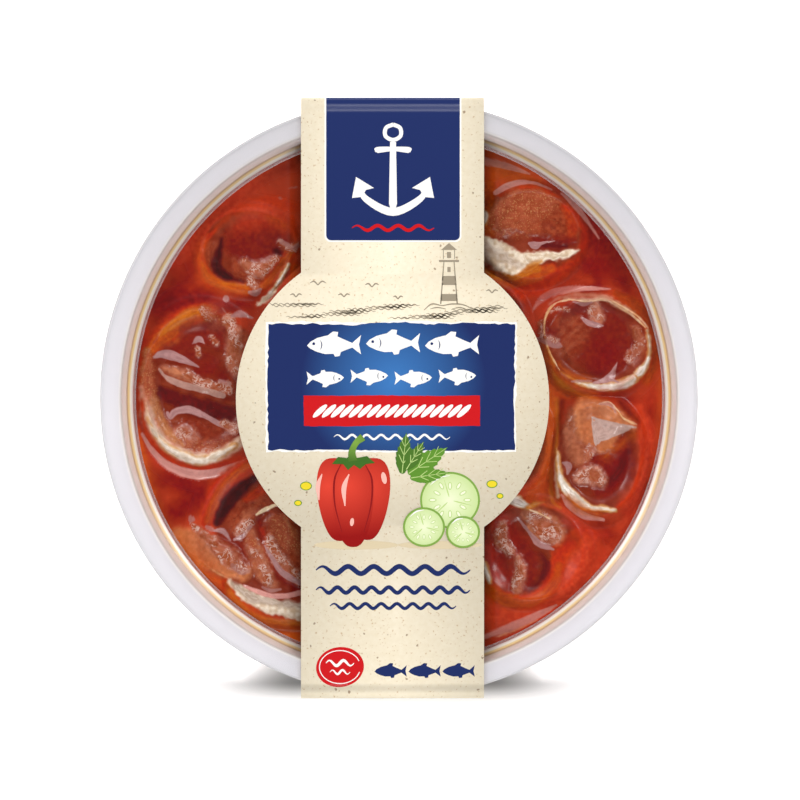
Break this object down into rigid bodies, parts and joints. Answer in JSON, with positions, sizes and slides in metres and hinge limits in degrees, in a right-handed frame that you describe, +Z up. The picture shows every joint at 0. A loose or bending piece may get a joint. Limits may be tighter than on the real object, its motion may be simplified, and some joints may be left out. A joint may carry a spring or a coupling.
{
  "type": "herring rolls in a sleeved tub",
  "caption": "Shut round clear plastic tub of rolled herring fillets in tomato sauce, kashubian style, sealed with clear film and held in a printed cardboard sleeve with a round top panel.",
  "frame": {"origin": "on the sleeve's underside, below the middle of the tub", "axes": "+Z up out of the lid film, with the pack lying flat; +Y along the sleeve's band, towards the end that is at the top of the picture; +X to the right there"},
  "size_m": [0.1296, 0.13, 0.032],
  "materials": {
    "clear_plastic": "satin",
    "clear_film": "gloss",
    "printed_board": "matte",
    "tomato_sauce": "gloss",
    "herring": "gloss"
  },
  "bodies": {
    "root": {"tub": "clear_plastic", "lid_film": "clear_film", "sleeve": "printed_board", "tomato_sauce": "tomato_sauce", "herring_roll_1": "herring", "herring_roll_2": "herring", "herring_roll_3": "herring", "herring_roll_4": "herring", "herring_roll_5": "herring", "herring_roll_6": "herring", "herring_roll_7": "herring", "herring_roll_8": "herring", "herring_roll_9": "herring", "herring_roll_10": "herring", "herring_roll_11": "herring", "herring_roll_12": "herring", "herring_roll_13": "herring"}
  },
  "joints": []
}
